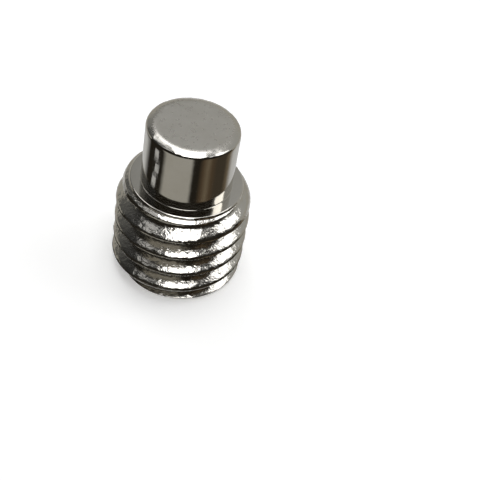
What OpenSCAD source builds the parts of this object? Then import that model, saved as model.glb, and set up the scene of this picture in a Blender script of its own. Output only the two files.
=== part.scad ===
// Hexagon socket set screw with a full dog point, standing on its socket end.
// All lengths are in millimetres. +Z runs from the socket end to the tip of the dog.

/* [Thread] */
// Nominal diameter, over the thread crests
thread_d = 6; // [5.9:0.1:7]
// Distance from one crest to the next along the screw
pitch = 1; // [0.75:0.05:1.05]
// Full angle between the two flanks of the groove
flank_angle = 60; // [58:1:62]
// Width of the flat left on top of each crest, as a share of the pitch
crest_share = 0.125; // [0.1:0.005:0.16]
// Width of the flat at the bottom of the groove, as a share of the pitch
root_share = 0.18; // [0.12:0.01:0.22]
// Turn of the thread round the screw at the socket end
thread_start = 200; // [0:5:355]

/* [Lengths] */
// Overall length, from the socket end to the tip of the dog
screw_len = 8; // [7.5:0.1:12]
// Length of the dog beyond the shoulder
dog_len = 3; // [1.5:0.1:3.3]

/* [Dog] */
// Diameter of the dog
dog_d = 4; // [3.5:0.05:4.1]
// Radius of the rounded edge round the tip of the dog
tip_round = 0.25; // [0.1:0.01:0.35]
// Radius of the fillet where the dog meets the shoulder
root_fillet = 0.1; // [0.05:0.01:0.24]

/* [Thread ends] */
// Diameter of the flat shoulder, where its bevel starts
shoulder_d = 5; // [4.7:0.05:5.3]
// Angle of the shoulder bevel from the flat
shoulder_angle = 63; // [45:1:66]
// Outer diameter of the flat face at the socket end
face_d = 4.7; // [4.6:0.05:5]
// Angle of the bevel at the socket end from the flat
face_angle = 25; // [15:1:45]

/* [Socket] */
// Size of the hexagon key across its flats
key_size = 3; // [2.5:0.1:3.1]
// Play of the key across the flats
key_play = 0.05; // [0.02:0.01:0.1]
// Depth of the full hexagon below the face
key_depth = 3; // [2:0.1:3.5]
// Diameter of the countersink at the face
sink_d = 4.3; // [4.05:0.05:4.5]
// Depth of the countersink
sink_depth = 0.22; // [0.1:0.01:0.4]
// Room between the corners of the hexagon and the floor of the countersink
corner_room = 0.03; // [0.01:0.01:0.1]
// Width of the ledge between the hexagon and the drilled hole
drill_ledge = 0.08; // [0.04:0.01:0.2]
// Full angle of the drill point at the bottom of the socket
drill_angle = 120; // [110:1:140]

/* [Hidden] */

// Steps of one turn of the groove, facets of the round faces, and lines of a small arc
TURN_STEPS = 48;
ROUND_STEPS = 96;
ARC_STEPS = 5;

// How far a cut runs past the surface that it opens
CUT_PAST = 0.5;
// How far the groove cutter stands outside the crests
CUTTER_PROUD = 0.03;
// Part of a turn by which the groove runs past each end of the thread
RUN_PAST = 0.75;

thread_r = thread_d / 2;
dog_r = dog_d / 2;
body_len = screw_len - dog_len;

// The groove: its depth follows from the flanks and the two flats
flank_tan = tan(flank_angle / 2);
groove_depth = pitch * (1 - crest_share - root_share) / 2 / flank_tan;
root_r = thread_r - groove_depth;
cutter_r = thread_r + CUTTER_PROUD;
root_half = pitch * root_share / 2;
mouth_half = root_half + (cutter_r - root_r) * flank_tan;

shoulder_r = shoulder_d / 2;
shoulder_drop = (thread_r - shoulder_r) * tan(shoulder_angle);
face_r = face_d / 2;
face_rise = (thread_r - face_r) * tan(face_angle);

// The socket: the hexagon is stated by its corners, which $fn = 6 puts on the radius
socket_af = key_size + key_play;
corner_r = socket_af / 2 / cos(30);
sink_floor_r = corner_r + corner_room;
drill_r = socket_af / 2 - drill_ledge;
drill_rise = drill_r / tan(drill_angle / 2);

// Points of an arc in the plane of the section, with angles from the outward direction
function arc(centre, radius, from, to) = [
    for (part = [0:ARC_STEPS])
    let (angle = from + (to - from) * part / ARC_STEPS)
    centre + radius * [cos(angle), sin(angle)]
];

// The screw before threading, turned from half of its section
module blank() {
    rotate_extrude($fn = ROUND_STEPS)
    polygon(concat(
        [
            [0, 0],
            [face_r, 0],
            [thread_r, face_rise],
            [thread_r, body_len - shoulder_drop],
            [shoulder_r, body_len]
        ],
        arc([dog_r + root_fillet, body_len + root_fillet], root_fillet, 270, 180),
        arc([dog_r - tip_round, screw_len - tip_round], tip_round, 0, 90),
        [[0, screw_len]]
    ));
}

// The groove between the crests is one helical bar with a four-cornered section.
// It climbs anticlockwise seen from the dog, which makes a right-hand thread.
groove_turns = body_len / pitch + 2 * RUN_PAST;
groove_steps = ceil(groove_turns * TURN_STEPS);
SECTION = [
    [root_r, -root_half],
    [cutter_r, -mouth_half],
    [cutter_r, mouth_half],
    [root_r, root_half]
];
CORNERS = len(SECTION);

function groove_point(step, corner) =
    let (
        angle = step * 360 / TURN_STEPS,
        rise = pitch * (step / TURN_STEPS - RUN_PAST)
    )
    [
        SECTION[corner][0] * cos(angle),
        SECTION[corner][0] * sin(angle),
        SECTION[corner][1] + rise
    ];

function ring_index(step, corner) = step * CORNERS + corner % CORNERS;

module groove() {
    points = [
        for (step = [0:groove_steps], corner = [0:CORNERS - 1])
        groove_point(step, corner)
    ];
    near_sides = [
        for (step = [0:groove_steps - 1], corner = [0:CORNERS - 1])
        [
            ring_index(step, corner),
            ring_index(step, corner + 1),
            ring_index(step + 1, corner + 1)
        ]
    ];
    far_sides = [
        for (step = [0:groove_steps - 1], corner = [0:CORNERS - 1])
        [
            ring_index(step, corner),
            ring_index(step + 1, corner + 1),
            ring_index(step + 1, corner)
        ]
    ];
    first_end = [[for (corner = [CORNERS - 1:-1:0]) ring_index(0, corner)]];
    last_end = [[for (corner = [0:CORNERS - 1]) ring_index(groove_steps, corner)]];
    rotate([0, 0, thread_start])
    polyhedron(
        points = points,
        faces = concat(near_sides, far_sides, first_end, last_end),
        convexity = 10
    );
}

module socket() {
    translate([0, 0, -CUT_PAST])
    cylinder(h = key_depth + CUT_PAST, r = corner_r, $fn = 6);
    translate([0, 0, key_depth])
    cylinder(h = drill_rise, r1 = drill_r, r2 = 0, $fn = ROUND_STEPS);
}

module countersink() {
    sink_slope = (sink_d / 2 - sink_floor_r) / sink_depth;
    translate([0, 0, -CUT_PAST])
    cylinder(
        h = sink_depth + CUT_PAST,
        r1 = sink_d / 2 + sink_slope * CUT_PAST,
        r2 = sink_floor_r,
        $fn = ROUND_STEPS
    );
}

module set_screw() {
    color("#8f8c84")
    difference() {
        blank();
        groove();
        socket();
        countersink();
    }
}

set_screw();
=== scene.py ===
"""Looks of a hexagon socket set screw with a dog point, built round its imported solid.

The screw is one closed mesh: an outline of radius and height that is turned round +Z,
with the helical groove pressed into its threaded part and the hexagon into its socket.
Lengths are in millimetres until they are given to Blender, which takes metres.
"""

import math

import bpy
import numpy as np
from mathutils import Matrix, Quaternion, Vector, noise


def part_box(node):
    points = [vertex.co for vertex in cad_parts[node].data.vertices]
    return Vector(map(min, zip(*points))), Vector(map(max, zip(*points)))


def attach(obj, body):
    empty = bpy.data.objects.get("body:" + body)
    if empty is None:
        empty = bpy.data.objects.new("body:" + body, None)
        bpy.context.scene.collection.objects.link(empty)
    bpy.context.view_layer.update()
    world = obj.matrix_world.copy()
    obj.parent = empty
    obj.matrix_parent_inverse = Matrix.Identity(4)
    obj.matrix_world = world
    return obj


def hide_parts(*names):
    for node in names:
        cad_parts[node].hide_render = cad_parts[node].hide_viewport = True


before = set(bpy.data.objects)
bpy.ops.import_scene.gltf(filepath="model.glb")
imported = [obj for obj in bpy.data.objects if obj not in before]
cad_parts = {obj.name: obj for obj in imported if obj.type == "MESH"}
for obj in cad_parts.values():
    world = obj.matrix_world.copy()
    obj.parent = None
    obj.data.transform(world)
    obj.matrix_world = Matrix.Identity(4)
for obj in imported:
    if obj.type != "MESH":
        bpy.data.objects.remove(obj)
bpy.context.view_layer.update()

MM = 0.001
EPSILON = 1e-6
NODE = "set_screw"

# Driving sizes: the overall ones come from the solid's box
LOW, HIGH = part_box(NODE)
SCREW_LEN = (HIGH.z - LOW.z) / MM
THREAD_R = (HIGH.x - LOW.x) / 2 / MM
PITCH = 1.0
DOG_LEN = 3.0
DOG_R = 2.0
BODY_LEN = SCREW_LEN - DOG_LEN

# Thread: the angle between its flanks, and its flats as shares of the pitch
FLANK_ANGLE = 60
FLANK_TAN = math.tan(math.radians(FLANK_ANGLE / 2))
CREST_SHARE = 0.125
ROOT_SHARE = 0.18
ROOT_HALF = PITCH * ROOT_SHARE / 2
ROOT_R = THREAD_R - PITCH * (1 - CREST_SHARE - ROOT_SHARE) / 2 / FLANK_TAN
THREAD_START = math.radians(200)
# Height of the groove's middle at the thread's start, as a share of the pitch
GROOVE_RISE = 0.25
# Width over which the edges of crest and root are softened
CREST_SOFT = 0.11
ROOT_SOFT = 0.18

# Face at the socket end, and its bevel
FACE_R = 2.35
FACE_ANGLE = 25
FACE_RISE = (THREAD_R - FACE_R) * math.tan(math.radians(FACE_ANGLE))

# Shoulder: from its flat a lip, a step and a ledge go down and out to its bevel
SHOULDER_R = 2.5
SHOULDER_ANGLE = 63
SHOULDER_DROP = (THREAD_R - SHOULDER_R) * math.tan(math.radians(SHOULDER_ANGLE))
LIP_WIDTH = 0.06
LIP_FALL = 0.04
STEP_FALL = 0.08
LEDGE_WIDTH = 0.17
LEDGE_FALL = 0.08

# Bevel round the tip of the dog
TIP_WIDTH = 0.33
TIP_DROP = 0.14

# Radius of each rounded edge, from the socket end up to the tip
FACE_ROUND = 0.06
BEVEL_ROUND = 0.2
LEDGE_ROUND = 0.06
STEP_ROUND = 0.02
LIP_ROUND = 0.04
LIP_SOFT = 0.06
DOG_FILLET = 0.02
TIP_ROUND = 0.14
TIP_SOFT = 0.6

# Socket: countersink, hexagon and the cone of the drill
SINK_R = 2.15
SINK_DEPTH = 0.22
KEY_SIZE = 3.0
KEY_PLAY = 0.05
SOCKET_APOTHEM = (KEY_SIZE + KEY_PLAY) / 2
SOCKET_DEPTH = 3.0
CORNER_ROOM = 0.03
SINK_FLOOR_R = SOCKET_APOTHEM / math.cos(math.pi / 6) + CORNER_ROOM
DRILL_LEDGE = 0.08
DRILL_ANGLE = 120
DRILL_R = SOCKET_APOTHEM - DRILL_LEDGE
DRILL_RISE = DRILL_R / math.tan(math.radians(DRILL_ANGLE / 2))
# Softened edges of the socket: at both ends of the hexagon, and at the mouth of the countersink
HEX_EDGE = 0.03
HEX_MOUTH_WIDTH = HEX_EDGE / 3
SINK_ROUND = 0.04
SINK_MOUTH_RISE = SINK_ROUND / 3

# Dents: the scale of their noise per millimetre, and their depth
WAVE_SCALE = 1.1
WAVE_DEPTH = 0.014
DENT_SCALE = 6.0
DENT_DEPTH = 0.011
RIM_SCALE = 3.0
RIM_DEPTH = 0.014
# The rim's dents fade out over this distance from the dog's edge
RIM_REACH = 0.5
# The thread's dents stay clear of the socket, the face and the shoulder
DENT_LOWEST_R = ROOT_R - 0.05
DENT_BOTTOM = 0.05
DENT_TOP = BODY_LEN - 0.02

# Mesh density
COLUMNS = 240
THREAD_STEP = 0.023
DOG_STEP = 0.12
ARC_STEPS = 8
SOCKET_ROWS = (0.75, 0.5, 0.25)
SHARP_ANGLE = math.radians(35)

# Nickel: two tones that the clouds mix. Noise scales are per metre, and Z squashes the grain
TONE_DARK = (0.58, 0.555, 0.505, 1)
TONE_LIGHT = (0.68, 0.665, 0.63, 1)
CLOUD_NOISE = {"Scale": 900.0, "Detail": 3.0, "Roughness": 0.6}
GRAIN_NOISE = {"Scale": 4500.0, "Detail": 2.5, "Roughness": 0.55}
GRAIN_SQUASH = (1, 1, 1.7)
GRAIN_LOW = 0.35
GRAIN_HIGH = 0.65

# Roughness: of the smooth and dull patches, and what thread and tip add to it
PATCH_SMOOTH = 0.07
PATCH_DULL = 0.12
THREAD_ROUGH = 0.05
TIP_ROUGH = 0.2

# Bump: depth and strength of the swell, and of the grain on the thread and on the dog
SWELL_DEPTH = 0.02
SWELL_STRENGTH = 0.3
GRAIN_DEPTH = 0.019
GRAIN_ON_THREAD = 1.0
GRAIN_ON_DOG = 0.03

# Heights between which one finish turns into the next
TIP_FINISH = (SCREW_LEN - 0.12, SCREW_LEN - 0.001)
THREAD_FINISH = (BODY_LEN - 0.09, BODY_LEN - 0.03)
GRAIN_FINISH = (BODY_LEN - 0.04, BODY_LEN - 0.01)

# Camera, and the side of the screw that it stands on, in degrees from -Y
CAMERA_AT = (7.24, -31.57, 34.07)
CAMERA_AIM = (2.50, 2.32, 0.0)
CAMERA_ROLL = math.radians(11.5)
CAMERA_LENS = 75.0
CAMERA_NEAR = 1
CAMERA_FAR = 10000
CAMERA_SIDE = math.degrees(math.atan2(CAMERA_AT[0], -CAMERA_AT[1]))

# Colours of the studio's cards, which glow with them: painted reflections in the metal
BLACK = (0, 0, 0, 1)
DARK = (0.022, 0.019, 0.014, 1)
UMBER = (0.065, 0.052, 0.036, 1)
BROWN = (0.10, 0.07, 0.042, 1)
OLIVE = (0.19, 0.15, 0.10, 1)
GREY = (0.455, 0.44, 0.395, 1)
PALE = (0.66, 0.66, 0.65, 1)

# Floor: its half side, its grey, and what it glows where it is seen
FLOOR_HALF = 2000.0
FLOOR_SHADE = 0.9
FLOOR_GLOW = 0.35

# Cards: their glow, which paints reflections into the metal, their distances from the screw's
# axis and their heights
REFLECTION_GLOW = 0.88
CARD_STEPS = 72
CARD_LIFT = 0.01
NEAR_CARD_R = THREAD_R + 0.3
FLOOR_CARD_R = 7.0
WALL_CARD_R = 90.0
WALL_MIDDLE = 38.0
WALL_TOP = 142.0

# Sides are in degrees: 0 at the camera, 90 at its right
NEAR_CARD_SIDE = 115
# Standing cards, painted dark and grey reflections in the metal: first and last side, lower and
# upper edge, colour
WALL_CARDS = {
    "low_dark_reflection": (-100, 100, 0, WALL_MIDDLE, DARK),
    "back_grey_reflection": (100, 260, 0, WALL_MIDDLE, GREY),
    "front_dark_reflection": (-75, 75, WALL_MIDDLE, WALL_TOP, DARK),
}
# Colours of the card on the floor, by side: painted reflections of the surroundings in the metal
REFLECTED_SIDES = [
    (-180, PALE),
    (-122, PALE),
    (-102, DARK),
    (-60, DARK),
    (-50, GREY),
    (6, GREY),
    (13, DARK),
    (24, DARK),
    (34, BROWN),
    (44, OLIVE),
    (54, BROWN),
    (66, UMBER),
    (88, UMBER),
    (100, OLIVE),
    (116, PALE),
    (180, PALE),
]
# Small pale cards on the floor, painted glints in the dog's dark side: side, nearest distance
# and length
GLINTS = [(-78, 7.7, 0.7), (-73, 8.8, 0.6), (-78, 9.8, 1.0)]
GLINT_HALF = 6

# World: its light at the horizon, above it and overhead
WORLD_LOW = (0.8, 0.8, 0.8, 1)
WORLD_SIDE = (0.41, 0.41, 0.3854, 1)
WORLD_TOP = (0.4, 0.4, 0.4, 1)
WORLD_SIDE_AT = 0.35
# Shares of that light on the left, in front and at the back, and where each sets in,
# as the X or Y of the direction
WORLD_LEFT_SHARE = 0.28
WORLD_LEFT_SPAN = (-0.5, -0.1)
WORLD_FRONT_SHARE = 0.27
WORLD_FRONT_SPAN = (0.0, 0.3)
WORLD_BACK_SHARE = 0.6
WORLD_BACK_SPAN = (0.4, 0.55)

# Lamps: side, elevation, width, height and radiance
SOFTBOXES = {
    "overhead": (0, 84, 80, 146, 3.4),
    "left": (-88, 61, 40, 44, 0.6),
    "back_left": (-145, 58, 60, 50, 2.0),
    "right": (98, 52, 58, 68, 2.2),
}
SOFTBOX_AWAY = 150.0


def corner_arc(before, corner, after, radius):
    """Points of the arc of that radius that rounds one corner of the outline."""
    corner = np.array(corner)
    to_before = np.array(before) - corner
    to_after = np.array(after) - corner
    to_before = to_before / np.linalg.norm(to_before)
    to_after = to_after / np.linalg.norm(to_after)
    half = math.acos(np.clip(to_before @ to_after, -1, 1)) / 2
    middle = (to_before + to_after) / np.linalg.norm(to_before + to_after)
    centre = corner + middle * radius / math.sin(half)
    first = corner + to_before * radius / math.tan(half) - centre
    last = corner + to_after * radius / math.tan(half) - centre
    sweep = math.pi - 2 * half
    points = []
    for step in range(ARC_STEPS + 1):
        part = step / ARC_STEPS
        weight_first = math.sin((1 - part) * sweep) / math.sin(sweep)
        weight_last = math.sin(part * sweep) / math.sin(sweep)
        points.append(centre + first * weight_first + last * weight_last)
    return points


def outline(corners):
    """The open outline through the corners, each given as radius, height and rounding."""
    points = [np.array(corners[0][:2])]
    for before, corner, after in zip(corners, corners[1:], corners[2:]):
        points += corner_arc(before[:2], corner[:2], after[:2], corner[2])
    points.append(np.array(corners[-1][:2]))
    return points


def resample(points, step, low, high):
    """Adds points so that no stretch between the heights low and high is longer than step."""
    dense = [points[0]]
    for start, end in zip(points, points[1:]):
        length = np.linalg.norm(end - start)
        inside = low <= min(start[1], end[1]) and max(start[1], end[1]) <= high
        parts = max(1, math.ceil(length / step)) if inside else 1
        dense += [start + (end - start) * part / parts for part in range(1, parts + 1)]
    return np.array(dense)


def soft_min(a, b, width):
    """The smaller of a and b, rounded where they are closer than width."""
    near = np.clip(width - np.abs(a - b), 0, None) / width
    return np.minimum(a, b) - near ** 2 * width / 4


def soft_max(a, b, width):
    """The larger of a and b, rounded where they are closer than width."""
    return -soft_min(-a, -b, width)


def thread_radius(angle, height):
    """Radius of the groove's surface, as if the bar were endless and had no outside."""
    turns = height / PITCH - (angle - THREAD_START) / math.tau - GROOVE_RISE
    from_groove = np.abs((turns + 0.5) % 1 - 0.5) * PITCH
    climb = (from_groove - ROOT_HALF) / FLANK_TAN
    return ROOT_R + soft_max(climb, np.zeros_like(climb), ROOT_SOFT)


def hexagon_radius(angle):
    """Distance from the axis to the hexagon, whose first corner is on +X."""
    sixth = math.pi / 3
    return SOCKET_APOTHEM / np.cos(angle % sixth - sixth / 2)


def outside_rows():
    """Rows of the outside, from the countersink's edge up to the flat of the dog's tip."""
    lip = BODY_LEN - LIP_FALL
    step = lip - STEP_FALL
    ledge = step - LEDGE_FALL
    corners = [
        (SINK_R + SINK_ROUND, 0, 0),
        (FACE_R, 0, FACE_ROUND),
        (THREAD_R, FACE_RISE, BEVEL_ROUND),
        (THREAD_R, BODY_LEN - SHOULDER_DROP, BEVEL_ROUND),
        (SHOULDER_R + LEDGE_WIDTH, ledge, LEDGE_ROUND),
        (SHOULDER_R, step, STEP_ROUND),
        (SHOULDER_R, lip, LIP_ROUND),
        (SHOULDER_R - LIP_WIDTH, BODY_LEN, LIP_SOFT),
        (DOG_R, BODY_LEN, DOG_FILLET),
        (DOG_R, SCREW_LEN - TIP_DROP, TIP_ROUND),
        (DOG_R - TIP_WIDTH, SCREW_LEN, TIP_SOFT),
        (DOG_R / 2, SCREW_LEN, 0),
    ]
    body = resample(outline(corners), THREAD_STEP, 0, BODY_LEN)
    return resample(body, DOG_STEP, BODY_LEN, SCREW_LEN)


def grid_points():
    """Every ring of the mesh, as an array of rings, columns and x, y, z."""
    angle = np.linspace(0, math.tau, COLUMNS, endpoint=False)
    rings = []

    def ring(radius, height):
        radius = np.broadcast_to(radius, angle.shape)
        height = np.broadcast_to(height, angle.shape)
        rings.append(np.stack([radius * np.cos(angle), radius * np.sin(angle), height], axis=1))

    hexagon = hexagon_radius(angle)
    ring(DRILL_R / 2, SOCKET_DEPTH + DRILL_RISE / 2)
    ring(DRILL_R, SOCKET_DEPTH)
    ring(hexagon - HEX_EDGE, SOCKET_DEPTH)
    ring(hexagon, SOCKET_DEPTH - HEX_EDGE)
    for part in SOCKET_ROWS:
        ring(hexagon, SINK_DEPTH + (SOCKET_DEPTH - SINK_DEPTH) * part)
    ring(hexagon, SINK_DEPTH + HEX_EDGE)
    ring(hexagon + HEX_MOUTH_WIDTH, SINK_DEPTH)
    ring(SINK_FLOOR_R, SINK_DEPTH)
    ring(SINK_R - SINK_ROUND, SINK_ROUND)
    ring(SINK_R, SINK_MOUTH_RISE)
    for radius, height in outside_rows():
        turned = np.full_like(angle, radius)
        if height <= BODY_LEN:
            turned = soft_min(turned, thread_radius(angle, height), CREST_SOFT)
        ring(turned, height)
    return np.array(rings)


def dent_thread(points, radius):
    """Small waves and dents in the rolled thread, which only take metal away."""
    height = points[:, 2]
    outside = (radius > DENT_LOWEST_R) & (height > DENT_BOTTOM) & (height < DENT_TOP)
    for index in np.nonzero(outside)[0]:
        place = Vector(points[index])
        wave = noise.noise(place * WAVE_SCALE) * WAVE_DEPTH
        dent = noise.noise(place * DENT_SCALE) * DENT_DEPTH
        points[index, :2] *= 1 - abs(wave + dent) / radius[index]


def dent_rim(points, radius):
    """Small dents round the edge of the dog's tip, inwards and down."""
    inward = np.clip(1 - (DOG_R - radius) / RIM_REACH, 0, 1)
    upward = np.clip(1 - (SCREW_LEN - points[:, 2]) / RIM_REACH, 0, 1)
    for index in np.nonzero((inward * upward > 0) & (radius < DOG_R + EPSILON))[0]:
        dent = abs(noise.noise(Vector(points[index]) * RIM_SCALE)) * RIM_DEPTH
        dent *= inward[index] * upward[index]
        points[index, :2] *= 1 - dent / radius[index]
        points[index, 2] -= dent


def screw_mesh():
    """The closed mesh of the screw: its rings, and a point at each end of the axis."""
    rings = grid_points()
    count = len(rings)
    points = rings.reshape(-1, 3)
    radius = np.linalg.norm(points[:, :2], axis=1)
    dent_thread(points, radius)
    dent_rim(points, radius)
    drill_tip = len(points)
    dog_tip = drill_tip + 1
    ends = [[0, 0, SOCKET_DEPTH + DRILL_RISE], [0, 0, SCREW_LEN]]
    points = np.vstack([points, ends]) * MM
    faces = []
    for row in range(count - 1):
        for column in range(COLUMNS):
            after = (column + 1) % COLUMNS
            a = row * COLUMNS + column
            b = row * COLUMNS + after
            faces.append((a, b, b + COLUMNS, a + COLUMNS))
    last = (count - 1) * COLUMNS
    for column in range(COLUMNS):
        after = (column + 1) % COLUMNS
        faces.append((drill_tip, after, column))
        faces.append((last + column, last + after, dog_tip))
    mesh = bpy.data.meshes.new("screw")
    mesh.from_pydata(points.tolist(), [], faces)
    mesh.validate()
    mesh.shade_smooth()
    return mesh


def make_screw():
    """The screw, which takes the solid's place."""
    screw = bpy.data.objects.new("screw", screw_mesh())
    bpy.context.scene.collection.objects.link(screw)
    screw.data.set_sharp_from_angle(angle=SHARP_ANGLE)
    screw.data.materials.append(nickel())
    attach(screw, "root")
    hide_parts(NODE)


def add_node(tree, kind, **inputs):
    """A new node with some of its inputs set. An underscore stands for a space."""
    node = tree.nodes.new(kind)
    for name, value in inputs.items():
        node.inputs[name.replace("_", " ")].default_value = value
    return node


def join(tree, operation, first, second):
    """The result of a Math node on two outputs."""
    node = tree.nodes.new("ShaderNodeMath")
    node.operation = operation
    tree.links.new(first, node.inputs[0])
    tree.links.new(second, node.inputs[1])
    return node.outputs[0]


def map_range(tree, source, span, low, high):
    """A value that goes from low to high while the source goes through the span."""
    node = add_node(tree, "ShaderNodeMapRange", To_Min=low, To_Max=high)
    node.inputs["From Min"].default_value, node.inputs["From Max"].default_value = span
    tree.links.new(source, node.inputs["Value"])
    return node.outputs["Result"]


def by_height(tree, height, span, low, high):
    """A value that goes from low to high while the height goes through the span."""
    return map_range(tree, height, [end * MM for end in span], low, high)


def colour_ramp(tree, source, stops):
    """A colour that follows the source through the stops, each a place and a colour."""
    node = tree.nodes.new("ShaderNodeValToRGB")
    elements = node.color_ramp.elements
    elements.remove(elements[1])
    for number, (place, colour) in enumerate(stops):
        element = elements.new(place) if number else elements[0]
        element.position = place
        element.color = colour
    tree.links.new(source, node.inputs["Fac"])
    return node.outputs["Color"]


def noise_texture(tree, place, values):
    """A noise texture at a place, with its scale, detail and roughness."""
    texture = add_node(tree, "ShaderNodeTexNoise", **values)
    tree.links.new(place, texture.inputs["Vector"])
    return texture.outputs["Fac"]


def nickel():
    """Bright nickel plating: a satin tip, a smooth dog and a rougher rolled thread."""
    material = bpy.data.materials.new("nickel")
    material.use_nodes = True
    tree = material.node_tree
    shader = tree.nodes["Principled BSDF"]
    shader.inputs["Metallic"].default_value = 1.0
    place = tree.nodes.new("ShaderNodeTexCoord").outputs["Object"]
    split = tree.nodes.new("ShaderNodeSeparateXYZ")
    tree.links.new(place, split.inputs[0])
    height = split.outputs["Z"]

    cloud = noise_texture(tree, place, CLOUD_NOISE)
    squash = tree.nodes.new("ShaderNodeVectorMath")
    squash.operation = "MULTIPLY"
    squash.inputs[1].default_value = GRAIN_SQUASH
    tree.links.new(place, squash.inputs[0])
    grain = noise_texture(tree, squash.outputs[0], GRAIN_NOISE)

    tone = tree.nodes.new("ShaderNodeMix")
    tone.data_type = "RGBA"
    tone.inputs["A"].default_value = TONE_DARK
    tone.inputs["B"].default_value = TONE_LIGHT
    tree.links.new(cloud, tone.inputs["Factor"])
    tree.links.new(tone.outputs["Result"], shader.inputs["Base Color"])

    tip = by_height(tree, height, TIP_FINISH, 0.0, TIP_ROUGH)
    thread = by_height(tree, height, THREAD_FINISH, THREAD_ROUGH, 0.0)
    patches = map_range(tree, grain, (GRAIN_LOW, GRAIN_HIGH), PATCH_SMOOTH, PATCH_DULL)
    rough = join(tree, "ADD", join(tree, "ADD", tip, thread), patches)
    tree.links.new(rough, shader.inputs["Roughness"])

    swell = add_node(tree, "ShaderNodeBump", Distance=SWELL_DEPTH * MM, Strength=SWELL_STRENGTH)
    tree.links.new(cloud, swell.inputs["Height"])
    bump = add_node(tree, "ShaderNodeBump", Distance=GRAIN_DEPTH * MM)
    tree.links.new(grain, bump.inputs["Height"])
    strength = by_height(tree, height, GRAIN_FINISH, GRAIN_ON_THREAD, GRAIN_ON_DOG)
    tree.links.new(strength, bump.inputs["Strength"])
    tree.links.new(swell.outputs["Normal"], bump.inputs["Normal"])
    tree.links.new(bump.outputs["Normal"], shader.inputs["Normal"])
    return material


def add_stage_mesh(name, points, faces, material):
    """A floor or card of the studio, which isn't part of the object."""
    mesh = bpy.data.meshes.new(name)
    mesh.from_pydata([tuple(c * MM for c in point) for point in points], [], faces)
    mesh.materials.append(material)
    piece = bpy.data.objects.new(name, mesh)
    bpy.context.scene.collection.objects.link(piece)
    return piece


def paint(name, colour):
    """Matt paint with no gloss at all."""
    material = bpy.data.materials.new(name)
    material.use_nodes = True
    shader = material.node_tree.nodes["Principled BSDF"]
    shader.inputs["Base Color"].default_value = colour
    shader.inputs["Roughness"].default_value = 1.0
    shader.inputs["Specular IOR Level"].default_value = 0.0
    return material


def reflection_glow_paint(name, colour):
    """A card that glows with its colour, though it is no lamp: a reflection painted into the
    metal.
    """
    material = paint(name, BLACK)
    shader = material.node_tree.nodes["Principled BSDF"]
    shader.inputs["Emission Color"].default_value = colour
    shader.inputs["Emission Strength"].default_value = REFLECTION_GLOW
    return material


def clear_from_below(material):
    """Makes the back of the floor clear, so that the socket can be looked at from below."""
    tree = material.node_tree
    mix = tree.nodes.new("ShaderNodeMixShader")
    back = tree.nodes.new("ShaderNodeNewGeometry").outputs["Backfacing"]
    clear = tree.nodes.new("ShaderNodeBsdfTransparent")
    tree.links.new(back, mix.inputs[0])
    tree.links.new(tree.nodes["Principled BSDF"].outputs[0], mix.inputs[1])
    tree.links.new(clear.outputs[0], mix.inputs[2])
    tree.links.new(mix.outputs[0], tree.nodes["Material Output"].inputs["Surface"])


def glow_where_seen(material):
    """Lifts the floor to white where it is seen, also in the metal. Its shadow stays."""
    tree = material.node_tree
    shader = tree.nodes["Principled BSDF"]
    path = tree.nodes.new("ShaderNodeLightPath")
    seen = path.outputs["Is Camera Ray"]
    for other in ("Is Glossy Ray", "Is Transmission Ray"):
        seen = join(tree, "MAXIMUM", seen, path.outputs[other])
    glow = map_range(tree, seen, (0.0, 1.0), 0.0, FLOOR_GLOW)
    shader.inputs["Emission Color"].default_value = (1, 1, 1, 1)
    tree.links.new(glow, shader.inputs["Emission Strength"])


def make_floor():
    """A wide pale floor at the foot of the screw."""
    corners = [(-1, -1), (1, -1), (1, 1), (-1, 1)]
    points = [(x * FLOOR_HALF, y * FLOOR_HALF, 0) for x, y in corners]
    material = paint("floor", (FLOOR_SHADE, FLOOR_SHADE, FLOOR_SHADE, 1))
    glow_where_seen(material)
    clear_from_below(material)
    add_stage_mesh("floor", points, [(0, 1, 2, 3)], material)


def side_direction(azimuth):
    """Level direction towards a side of the studio: 0 at the camera, 90 at its right."""
    turn = math.radians(azimuth + CAMERA_SIDE)
    return math.sin(turn), -math.cos(turn)


def make_reflection_card(name, start, end, near, far, colour):
    """A card round the axis between two sides, its edges given as radius and height.

    Only the metal shows it, glowing with its colour: a reflection painted into the metal. It
    casts no shadow and lights nothing else.
    """
    steps = max(2, math.ceil((end - start) / 360 * CARD_STEPS))
    points = []
    for step in range(steps + 1):
        x, y = side_direction(start + (end - start) * step / steps)
        points += [(x * radius, y * radius, height) for radius, height in (near, far)]
    faces = [(2 * i, 2 * i + 1, 2 * i + 3, 2 * i + 2) for i in range(steps)]
    card = add_stage_mesh(name, points, faces, reflection_glow_paint(name, colour))
    card.visible_camera = False
    card.visible_diffuse = False
    card.visible_shadow = False
    card.visible_transmission = False
    return card


def paint_reflections_by_side(material):
    """Colours a floor card by the side of the screw that it lies on, with soft changes:
    reflections painted into the metal.
    """
    tree = material.node_tree
    place = tree.nodes.new("ShaderNodeTexCoord").outputs["Object"]
    spin = add_node(tree, "ShaderNodeVectorRotate", Angle=math.radians(90 - CAMERA_SIDE))
    tree.links.new(place, spin.inputs["Vector"])
    turn = tree.nodes.new("ShaderNodeTexGradient")
    turn.gradient_type = "RADIAL"
    tree.links.new(spin.outputs[0], turn.inputs["Vector"])
    stops = [(azimuth / 360 + 0.5, colour) for azimuth, colour in REFLECTED_SIDES]
    colour = colour_ramp(tree, turn.outputs["Fac"], stops)
    tree.links.new(colour, tree.nodes["Principled BSDF"].inputs["Emission Color"])


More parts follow.
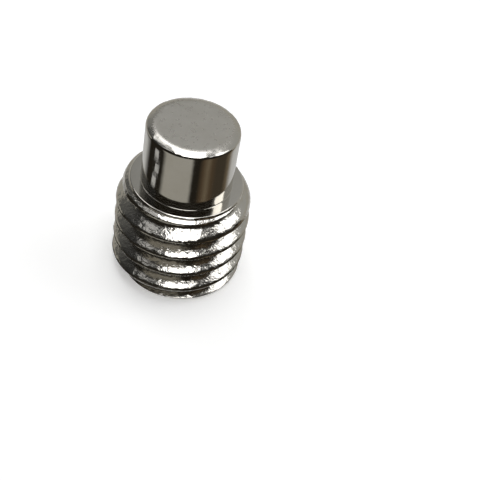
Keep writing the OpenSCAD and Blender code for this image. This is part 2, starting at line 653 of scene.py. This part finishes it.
def make_reflection_cards():
    """What the metal mirrors: glowing cards, painted reflections, that stand round the set and
    lie on its floor.
    """
    for name, (start, end, low, high, colour) in WALL_CARDS.items():
        make_reflection_card(name, start, end, (WALL_CARD_R, low), (WALL_CARD_R, high), colour)
    near = (NEAR_CARD_R, CARD_LIFT)
    middle = (FLOOR_CARD_R, CARD_LIFT)
    far = (WALL_CARD_R, CARD_LIFT)
    make_reflection_card("reflected_near_sheet", -NEAR_CARD_SIDE, NEAR_CARD_SIDE, near, middle, DARK)
    floor_card = make_reflection_card("reflected_floor_sheet", 0, 360, middle, far, DARK)
    paint_reflections_by_side(floor_card.data.materials[0])
    lift = 2 * CARD_LIFT
    # Pale cards that paint glints into the metal
    for azimuth, start, length in GLINTS:
        sides = (azimuth - GLINT_HALF, azimuth + GLINT_HALF)
        make_reflection_card("glint", *sides, (start, lift), (start + length, lift), PALE)


def make_world():
    """Soft grey surroundings: pale at the horizon, darker above it, on the left and in front."""
    world = bpy.data.worlds.new("studio")
    bpy.context.scene.world = world
    world.use_nodes = True
    tree = world.node_tree
    background = tree.nodes["Background"]
    place = tree.nodes.new("ShaderNodeTexCoord").outputs["Generated"]
    split = tree.nodes.new("ShaderNodeSeparateXYZ")
    tree.links.new(place, split.inputs[0])
    x, y, z = split.outputs
    stops = [(0.0, WORLD_LOW), (WORLD_SIDE_AT, WORLD_SIDE), (1.0, WORLD_TOP)]
    tree.links.new(colour_ramp(tree, z, stops), background.inputs["Color"])
    left = map_range(tree, x, WORLD_LEFT_SPAN, WORLD_LEFT_SHARE, 1.0)
    back = map_range(tree, y, WORLD_BACK_SPAN, 0.0, WORLD_BACK_SHARE)
    front = map_range(tree, y, WORLD_FRONT_SPAN, WORLD_FRONT_SHARE, 1.0)
    strength = join(tree, "MULTIPLY", join(tree, "MAXIMUM", left, back), front)
    tree.links.new(strength, background.inputs["Strength"])


def softbox(name, azimuth, elevation, width, height, radiance):
    """An area lamp that faces the screw's shoulder from a side and an elevation."""
    lamp = bpy.data.lights.new(name, "AREA")
    lamp.shape = "RECTANGLE"
    lamp.size = width * MM
    lamp.size_y = height * MM
    lamp.energy = radiance * math.pi * width * height * MM * MM
    up = math.radians(elevation)
    x, y = side_direction(azimuth)
    away = Vector((x * math.cos(up), y * math.cos(up), math.sin(up)))
    light = bpy.data.objects.new(name, lamp)
    bpy.context.scene.collection.objects.link(light)
    light.location = away * SOFTBOX_AWAY * MM + Vector((0, 0, BODY_LEN * MM))
    light.rotation_mode = "QUATERNION"
    light.rotation_quaternion = away.to_track_quat("Z", "Y")


def make_camera():
    """The camera at the photograph's viewing angle, with no shift."""
    data = bpy.data.cameras.new("camera")
    data.lens = CAMERA_LENS
    data.clip_start = CAMERA_NEAR * MM
    data.clip_end = CAMERA_FAR * MM
    camera = bpy.data.objects.new("camera", data)
    bpy.context.scene.collection.objects.link(camera)
    camera.location = Vector(CAMERA_AT) * MM
    back = Vector(CAMERA_AT) - Vector(CAMERA_AIM)
    turn = back.to_track_quat("Z", "Y")
    camera.rotation_mode = "QUATERNION"
    camera.rotation_quaternion = turn @ Quaternion((0, 0, 1), CAMERA_ROLL)
    bpy.context.scene.camera = camera


bpy.context.scene.view_settings.view_transform = "Standard"
make_camera()
make_screw()
make_floor()
make_world()
make_reflection_cards()
for name, values in SOFTBOXES.items():
    softbox(name, *values)
